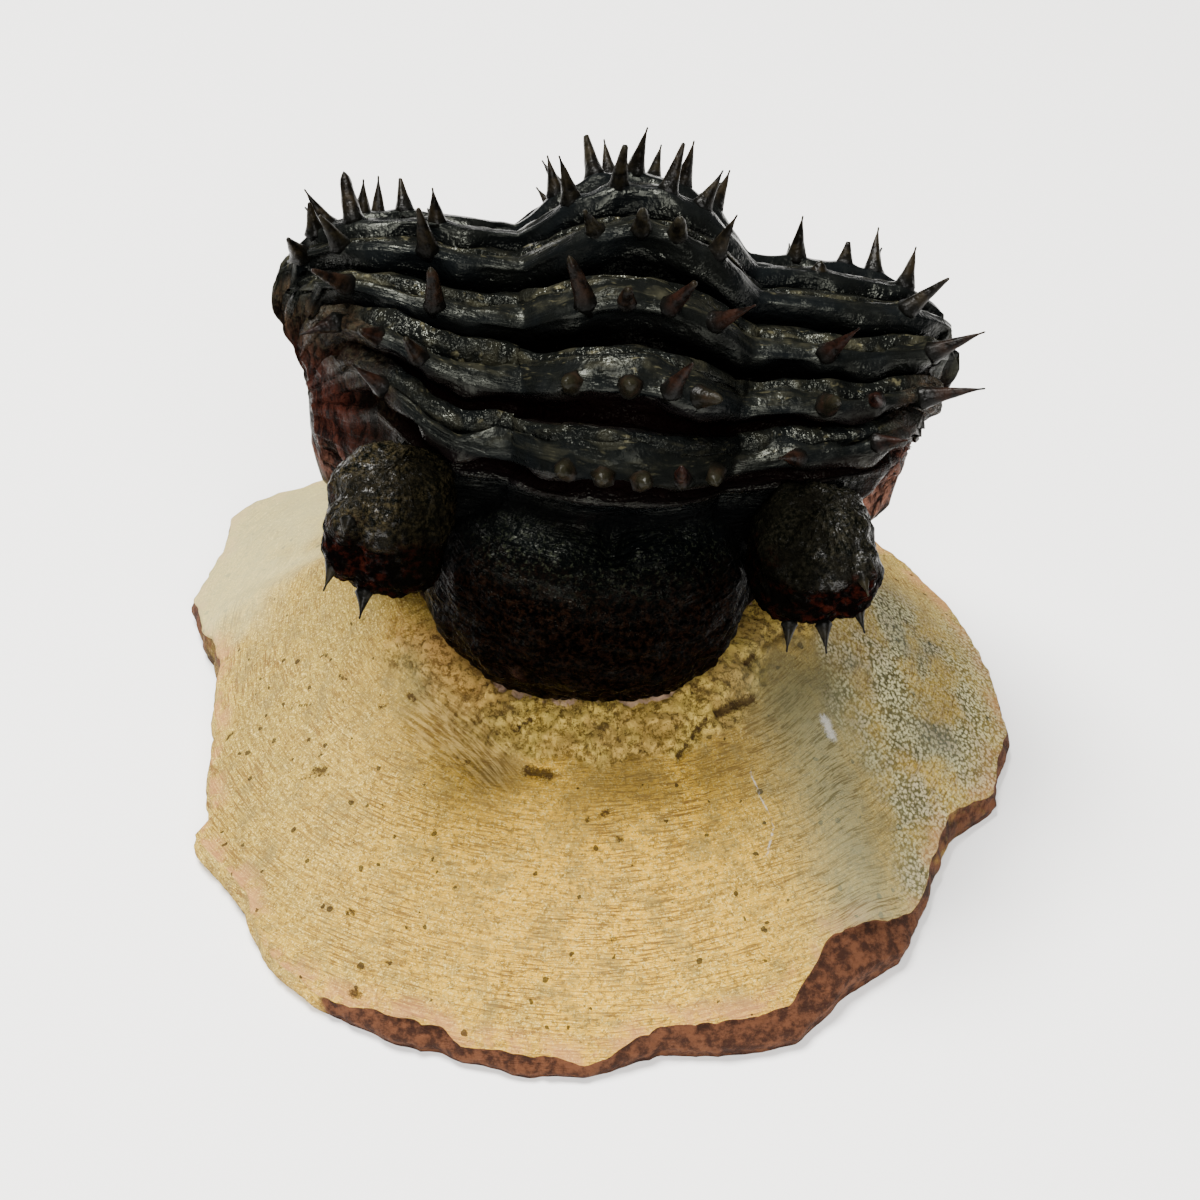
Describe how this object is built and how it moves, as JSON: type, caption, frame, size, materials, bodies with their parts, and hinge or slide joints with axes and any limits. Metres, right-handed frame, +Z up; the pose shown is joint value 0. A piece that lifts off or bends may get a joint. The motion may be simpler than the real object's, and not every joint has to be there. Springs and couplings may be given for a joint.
{
  "type": "fossil trilobite",
  "caption": "Spiny trilobite fossil arched over in relief, its head hanging to the front, on a low chipped mound of its own limestone.",
  "frame": {"origin": "on the stone's flat base, under the middle of its bounding box", "axes": "+Z up; the trilobite's head faces -Y, and +X is to the right of someone who looks at its face"},
  "size_m": [0.0838, 0.082, 0.0651],
  "materials": {
    "fossil_shell": "near-black mineralised shell with a satin to glossy finish, brown in its hollows",
    "limestone": "matt tan limestone with fine tool scratches and a red-brown broken edge"
  },
  "bodies": {
    "root": {"trilobite": "fossil_shell", "matrix": "limestone"}
  },
  "joints": []
}
